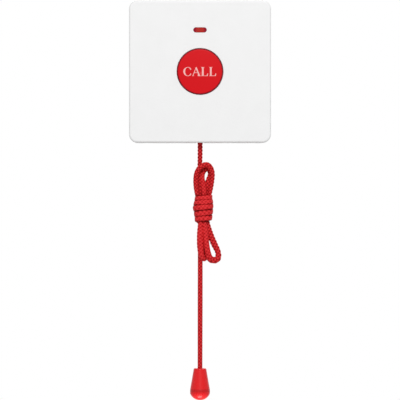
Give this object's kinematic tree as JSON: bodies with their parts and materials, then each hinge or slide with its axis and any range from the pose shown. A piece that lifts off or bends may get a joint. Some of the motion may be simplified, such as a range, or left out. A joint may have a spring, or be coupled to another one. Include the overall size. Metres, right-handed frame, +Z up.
{
  "type": "wall panic button with pull cord",
  "caption": "Square wall housing with a round call button, an indicator window and a pull cord with a bell-shaped pull.",
  "frame": {"origin": "on the wall plane, behind the middle of the call button and of the square housing", "axes": "+Y into the wall, -Y towards the room, +X to the right seen from the room, +Z up"},
  "size_m": [0.086, 0.0171, 0.2428],
  "materials": {
    "white_cover": "satin moulded",
    "white_base": "satin moulded",
    "red_button": "satin moulded",
    "red_lens": "clear tinted",
    "red_pull": "glossy moulded",
    "red_cord": "round braid",
    "grey_plastic": "moulded",
    "black_plastic": "moulded",
    "brown_plastic": "moulded",
    "board": "solder mask",
    "cell_wrap": "shrink sleeve",
    "spring_steel": "drawn wire",
    "zinc": "plated",
    "can_metal": "tinned can",
    "contact_metal": "nickel plated sheet",
    "copper": "enamelled wire"
  },
  "bodies": {
    "housing": {"front_cover": "white_cover", "rear_plate": "white_base", "button_spring": "spring_steel", "return_spring": "spring_steel", "battery_spring": "spring_steel", "antenna": "copper", "main_switch": "black_plastic", "pull_switch": "black_plastic", "led_window": "red_lens", "led": "red_lens", "pcb": "board", "pcb_screws": "zinc", "rf_chip": "black_plastic", "resonator": "can_metal", "battery": "cell_wrap", "battery_plus_plate": "contact_metal", "battery_minus_plate": "contact_metal", "cord_bush": "white_base"},
    "call_button": {"call_button": "red_button"},
    "main_plunger": {"main_plunger": "brown_plastic"},
    "pull": {"pull_slider": "grey_plastic", "cord_top_knot": "red_cord", "cord_upper": "red_cord", "cord_hank": "red_cord", "cord_lower": "red_cord", "cord_end_knot": "red_cord", "pull_bell": "red_pull", "pull_plug": "red_pull"},
    "pull_plunger": {"pull_plunger": "brown_plastic"}
  },
  "joints": [
    {"name": "button_press", "type": "slide", "parent": "housing", "child": "call_button", "axis": [0, 1, 0], "range_m": [0, 0.0015], "stiffness_N_per_m": 600, "springref_m": -0.003, "deforming": ["button_spring"]},
    {"name": "main_plunger_press", "type": "slide", "parent": "housing", "child": "main_plunger", "axis": [0, 1, 0], "range_m": [0, 0.0004]},
    {"name": "cord_pull", "type": "slide", "parent": "housing", "child": "pull", "axis": [0, 0, -1], "range_m": [0, 0.004], "stiffness_N_per_m": 400, "springref_m": -0.004, "deforming": ["return_spring"]},
    {"name": "pull_plunger_press", "type": "slide", "parent": "housing", "child": "pull_plunger", "axis": [0, 0, -1], "range_m": [0, 0.0004]}
  ],
  "couplings": [
    {"joint": "main_plunger_press", "follows": "button_press", "ratio": 0.2},
    {"joint": "pull_plunger_press", "follows": "cord_pull", "ratio": 0.075}
  ]
}
